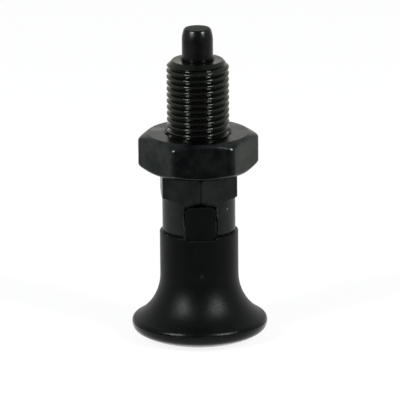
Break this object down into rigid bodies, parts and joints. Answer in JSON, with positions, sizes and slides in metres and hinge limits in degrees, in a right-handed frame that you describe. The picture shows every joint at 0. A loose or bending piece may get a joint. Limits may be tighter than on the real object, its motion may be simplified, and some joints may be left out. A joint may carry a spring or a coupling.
{
  "type": "indexing plunger",
  "caption": "Spring-loaded indexing plunger: slotted steel guide with fine thread and hexagon, round-nosed pin, mushroom pull knob with rest position, and lock nut.",
  "frame": {"origin": "centre of the knob's flat foot, on the axis of the pin", "axes": "+Z along the axis from the knob to the nose of the pin; -Y towards one key of the knob in its slot"},
  "size_m": [0.0218, 0.0218, 0.051],
  "materials": {
    "guide_steel": "black oxide, slightly oily, satin",
    "nut_steel": "black oxide over turned faces, satin",
    "pin_steel": "ground, then black oxide, semi-gloss",
    "spring_steel": "drawn spring wire",
    "bush_steel": "turned",
    "knob_plastic": "glass-filled moulding, fine matte grain"
  },
  "bodies": {
    "guide": {"guide_body": "guide_steel", "spring_bush": "bush_steel", "compression_spring": "spring_steel"},
    "plunger": {"indexing_pin": "pin_steel", "pull_knob": "knob_plastic"},
    "nut": {"lock_nut": "nut_steel"}
  },
  "joints": [
    {"name": "knob_pull", "type": "slide", "parent": "guide", "child": "plunger", "axis": [0, 0, -1], "range_m": [0, 0.0054], "stiffness_N_per_m": 1900, "springref_m": -0.003, "deforming": ["compression_spring"]},
    {"name": "nut_travel", "type": "slide", "parent": "guide", "child": "nut", "axis": [0, 0, 1], "range_m": [0, 0.011]}
  ]
}
